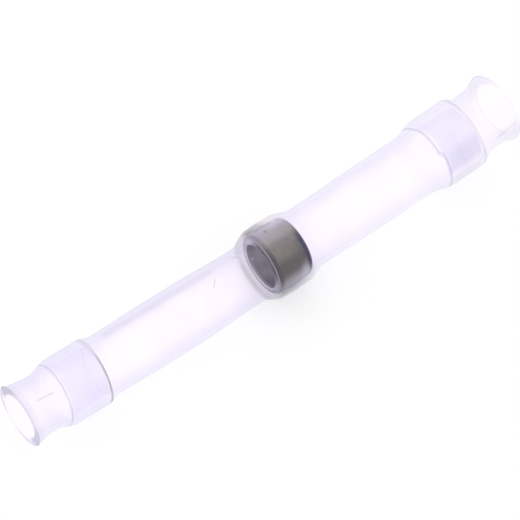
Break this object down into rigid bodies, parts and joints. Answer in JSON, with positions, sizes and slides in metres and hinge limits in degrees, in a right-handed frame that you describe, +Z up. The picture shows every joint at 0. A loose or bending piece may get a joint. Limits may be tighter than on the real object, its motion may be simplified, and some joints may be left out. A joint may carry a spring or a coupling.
{
  "type": "heat-shrink solder sleeve",
  "caption": "Clear heat-shrink splice sleeve with a solder ring near its middle and a hot-melt sealing ring near each end, lying on its side.",
  "frame": {"origin": "on the surface that the sleeve lies on, under its axis, half way between its two cut ends", "axes": "+X along the sleeve, from the plain cut end to the flared one; +Z up"},
  "size_m": [0.026, 0.0034, 0.0034],
  "materials": {
    "clear_sleeve": "gloss",
    "sealing_melt": "satin",
    "solder": "satin"
  },
  "bodies": {
    "root": {"sleeve": "clear_sleeve", "solder_ring": "solder", "left_sealing_ring": "sealing_melt", "right_sealing_ring": "sealing_melt"}
  },
  "joints": []
}
